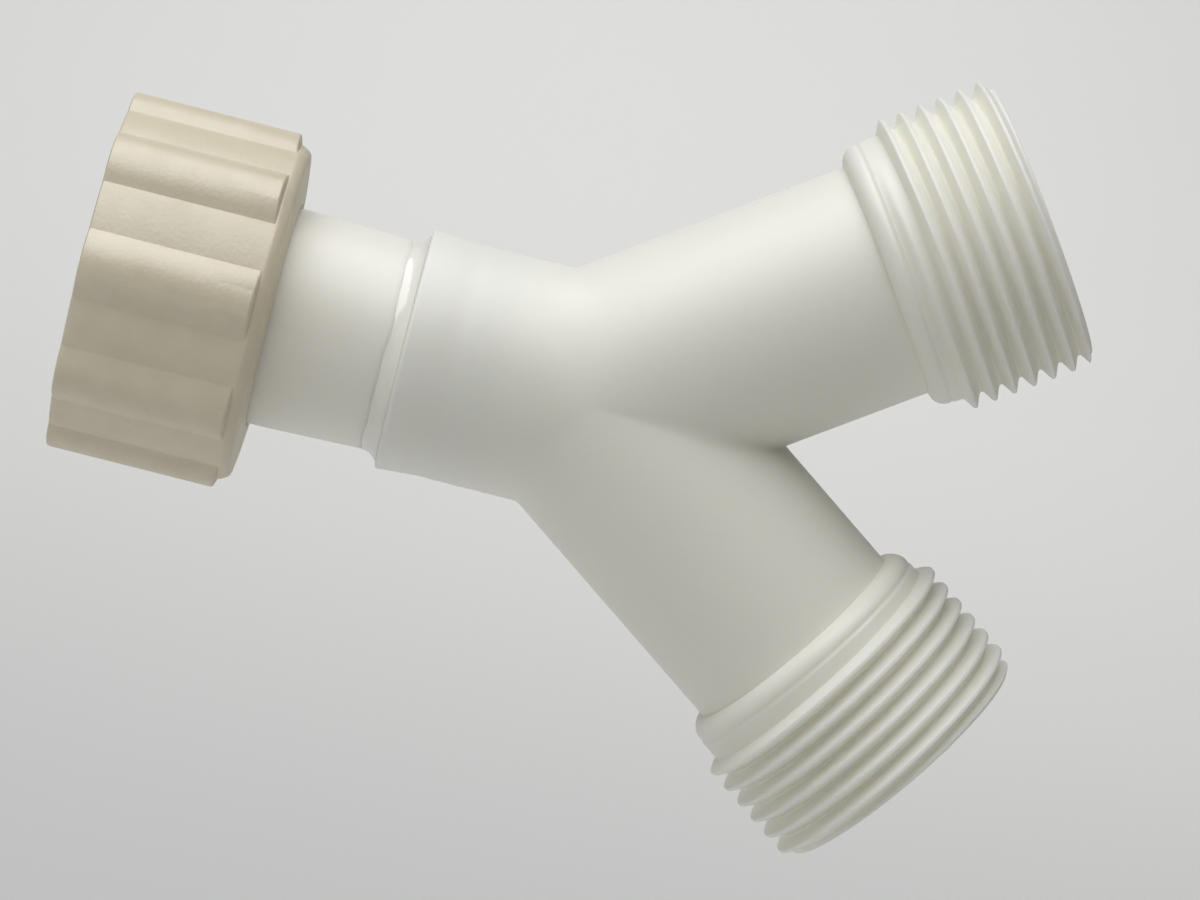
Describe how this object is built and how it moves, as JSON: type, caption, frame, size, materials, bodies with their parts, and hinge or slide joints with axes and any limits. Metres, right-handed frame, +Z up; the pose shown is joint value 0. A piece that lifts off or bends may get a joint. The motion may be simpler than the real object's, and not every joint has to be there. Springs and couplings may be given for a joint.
{
  "type": "hose splitter",
  "caption": "Y-shaped hose splitter with a ribbed swivel nut at the inlet and male hose threads on both outlets.",
  "frame": {"origin": "centre of the swivel nut's mouth, where the tap goes in", "axes": "+X along the inlet axis from the tap to the junction; the two outlets lie in the XZ plane, outlet a above and outlet b below the inlet axis; +Z up"},
  "size_m": [0.0862, 0.0316, 0.07],
  "materials": {
    "white_moulding": "satin, slightly translucent",
    "white_tube": "satin, slightly translucent",
    "clear_cement": "glossy",
    "cream_nut": "fine moulded texture",
    "washer_rubber": "matte"
  },
  "bodies": {
    "splitter": {"y_body": "white_moulding", "inlet_tailpiece": "white_tube", "socket_bead": "clear_cement"},
    "washer": {"sealing_washer": "washer_rubber"},
    "nut": {"swivel_nut": "cream_nut"}
  },
  "joints": [
    {"name": "nut_swivel", "type": "hinge", "parent": "splitter", "child": "washer", "pos_m": [0, 0, 0], "axis": [1, 0, 0], "continuous": true},
    {"name": "nut_draw_back", "type": "slide", "parent": "washer", "child": "nut", "axis": [1, 0, 0], "range_m": [0, 0.011]}
  ]
}
